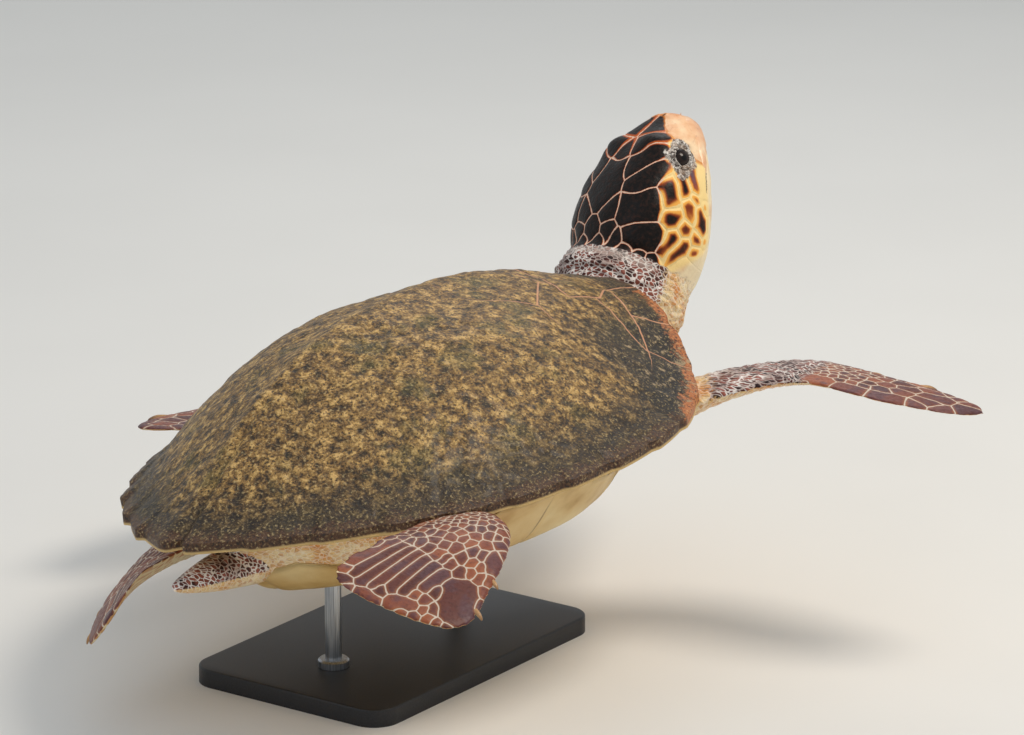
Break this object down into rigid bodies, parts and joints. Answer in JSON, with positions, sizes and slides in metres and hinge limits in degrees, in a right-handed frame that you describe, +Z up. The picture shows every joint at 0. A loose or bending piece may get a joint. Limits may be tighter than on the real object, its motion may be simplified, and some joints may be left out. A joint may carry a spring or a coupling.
{
  "type": "loggerhead turtle",
  "caption": "Life-size loggerhead turtle swimming with raised head and spread flippers, held by two short rods on a plain base.",
  "frame": {"origin": "middle of the underside of the stand's base, on the floor", "axes": "+X ahead of the turtle, +Y to its left, +Z up"},
  "size_m": [1.0034, 0.952, 0.4977],
  "materials": {
    "carapace_horn": "horn scutes, golden-brown and mottled, damp satin",
    "rim_horn": "horn of the rim scutes, brown with orange edges, damp satin",
    "plastron_horn": "pale yellow belly horn, satin",
    "head_scales": "dark brown horny scales with pale seams over skin, satin",
    "beak_horn": "pale orange-cream beak horn, satin",
    "skin": "soft scaly skin, brown above and cream below",
    "flipper_scales": "reddish-brown scales with cream seams",
    "eye": "wet black eye, glossy",
    "claw_horn": "claw horn, satin",
    "stand_black": "black powder coat, satin",
    "stand_steel": "brushed steel rod"
  },
  "bodies": {
    "root": {"trunk": "skin", "plastron": "plastron_horn", "scute_nuchal": "carapace_horn", "scute_vertebral_1": "carapace_horn", "scute_costal_left_1": "carapace_horn", "scute_costal_right_1": "carapace_horn", "scute_vertebral_2": "carapace_horn", "scute_costal_left_2": "carapace_horn", "scute_costal_right_2": "carapace_horn", "scute_vertebral_3": "carapace_horn", "scute_costal_left_3": "carapace_horn", "scute_costal_right_3": "carapace_horn", "scute_vertebral_4": "carapace_horn", "scute_costal_left_4": "carapace_horn", "scute_costal_right_4": "carapace_horn", "scute_vertebral_5": "carapace_horn", "scute_costal_left_5": "carapace_horn", "scute_costal_right_5": "carapace_horn", "scutes_marginal_left": "rim_horn", "scutes_marginal_right": "rim_horn", "neck": "skin", "head": "head_scales", "lower_jaw": "beak_horn", "beak_upper": "beak_horn", "beak_lower": "beak_horn", "eye_left": "eye", "eye_right": "eye", "flipper_front_left": "flipper_scales", "claw_front_left_1": "claw_horn", "claw_front_left_2": "claw_horn", "flipper_front_right": "flipper_scales", "claw_front_right_1": "claw_horn", "claw_front_right_2": "claw_horn", "flipper_hind_left": "flipper_scales", "claw_hind_left_1": "claw_horn", "claw_hind_left_2": "claw_horn", "flipper_hind_right": "flipper_scales", "claw_hind_right_1": "claw_horn", "claw_hind_right_2": "claw_horn", "tail": "skin", "stand_base": "stand_black", "stand_rod_front": "stand_steel", "stand_rod_rear": "stand_steel"}
  },
  "joints": []
}
